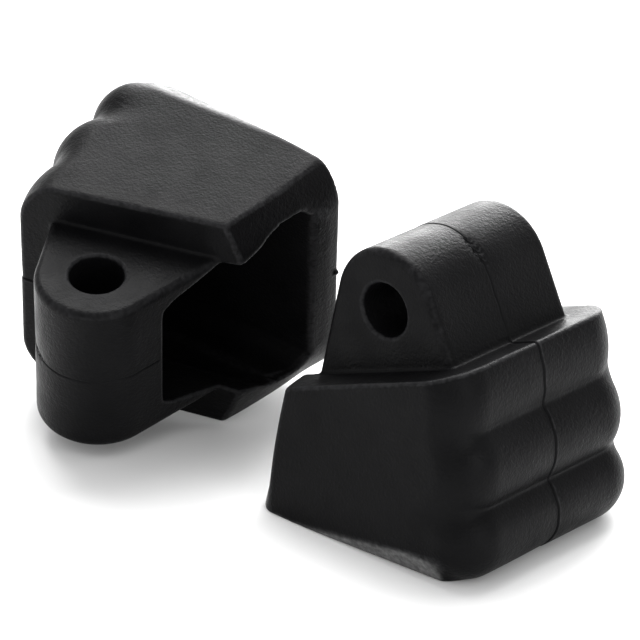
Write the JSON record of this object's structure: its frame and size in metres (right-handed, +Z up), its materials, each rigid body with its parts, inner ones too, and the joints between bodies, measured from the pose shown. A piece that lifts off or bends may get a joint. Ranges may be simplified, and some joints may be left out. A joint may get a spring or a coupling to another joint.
{
  "type": "hollow rubber block guard with bolt lug",
  "caption": "Pair of black moulded hollow blocks with an open front, a ridged back and a bored bolt lug; one stands on its sole, one lies on its side.",
  "frame": {"origin": "middle of the pair's box, on the surface that the guards stand on", "axes": "+Z up; +X along the standing guard's width and its lug's bore; +Y from its open front to its ridged back"},
  "size_m": [0.0572, 0.0988, 0.048],
  "materials": {
    "black_rubber": "satin, fine moulded grain"
  },
  "bodies": {
    "guard_standing": {"guard_standing": "black_rubber"},
    "guard_lying": {"guard_lying": "black_rubber"}
  },
  "joints": [
    {"name": "lying_guard_lift", "type": "slide", "parent": "guard_standing", "child": "guard_lying", "axis": [0, 0, 1], "range_m": [0, 0.1]}
  ]
}
